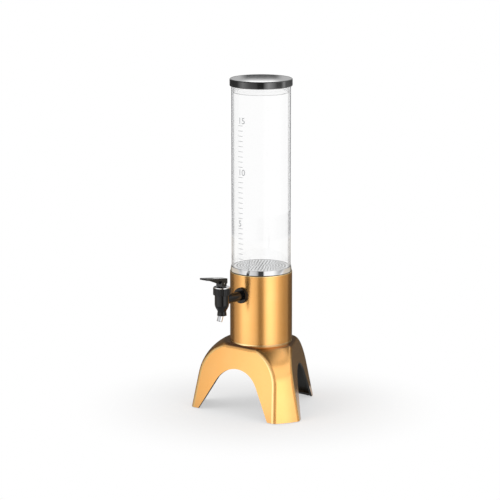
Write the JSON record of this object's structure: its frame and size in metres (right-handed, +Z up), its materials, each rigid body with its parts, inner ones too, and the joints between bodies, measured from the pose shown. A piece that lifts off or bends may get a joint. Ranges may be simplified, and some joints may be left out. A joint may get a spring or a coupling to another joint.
{
  "type": "beer tower dispenser",
  "caption": "Free-standing drink tower: clear scaled tube with a lid, gold body on a three-legged arched base, and a lever tap.",
  "frame": {"origin": "on the floor, at the centre of the footprint of the whole part, in the plane of symmetry", "axes": "+Z up along the tower, -Y the way the tap points, +X to the right when facing the tap"},
  "size_m": [0.2008, 0.2452, 0.51],
  "materials": {
    "gold_base": "satin metallic gold lacquer",
    "gold_sleeve": "satin metallic gold lacquer, lightly brushed round",
    "black_rubber": "matte",
    "seal_rubber": "translucent silicone",
    "zinc_screw": "plain",
    "black_cup": "moulded",
    "chrome_trim": "polished",
    "strainer_steel": "pressed and polished",
    "clear_tube": "clear acrylic with a printed scale",
    "gloss_black": "high gloss",
    "brushed_disc": "radially brushed",
    "clear_plug": "translucent silicone",
    "tap_black": "semi-gloss moulded",
    "nozzle_chrome": "polished",
    "lever_black": "gloss"
  },
  "bodies": {
    "tower": {"tripod_base": "gold_base", "foot_pads": "black_rubber", "base_screws": "zinc_screw", "body_sleeve": "gold_sleeve", "reservoir_cup": "black_cup", "collar_gasket": "seal_rubber", "chrome_collar": "chrome_trim", "tube_gasket": "seal_rubber", "strainer_plate": "strainer_steel", "beer_tube": "clear_tube", "tap_body": "tap_black", "spout_nozzle": "nozzle_chrome", "flange_gasket": "black_rubber", "inner_washer": "black_rubber", "shank_nut": "tap_black", "tap_bonnet": "tap_black", "bonnet_gasket": "seal_rubber", "bonnet_ring": "chrome_trim", "stem_seal": "seal_rubber", "spring_washer": "strainer_steel", "valve_spring": "strainer_steel"},
    "lid": {"lid_cap": "gloss_black", "lid_disc": "brushed_disc", "lid_plug": "clear_plug"},
    "stem": {"valve_stem": "chrome_trim", "valve_plug": "seal_rubber", "lever_pin": "strainer_steel"},
    "lever": {"tap_lever": "lever_black"}
  },
  "joints": [
    {"name": "lid_lift", "type": "slide", "parent": "tower", "child": "lid", "axis": [0, 0, 1], "range_m": [0, 0.06]},
    {"name": "stem_slide", "type": "slide", "parent": "tower", "child": "stem", "axis": [0, 0, 1], "range_m": [0, 0.002], "stiffness_N_per_m": 600, "springref_m": -0.0015, "deforming": ["valve_spring"]},
    {"name": "lever_hinge", "type": "hinge", "parent": "stem", "child": "lever", "pos_m": [0, -0.07875, 0.211], "axis": [1, 0, 0], "range_deg": [0, 22]}
  ],
  "couplings": [
    {"joint": "lever_hinge", "follows": "stem_slide", "rad_per_m": 191.9}
  ]
}
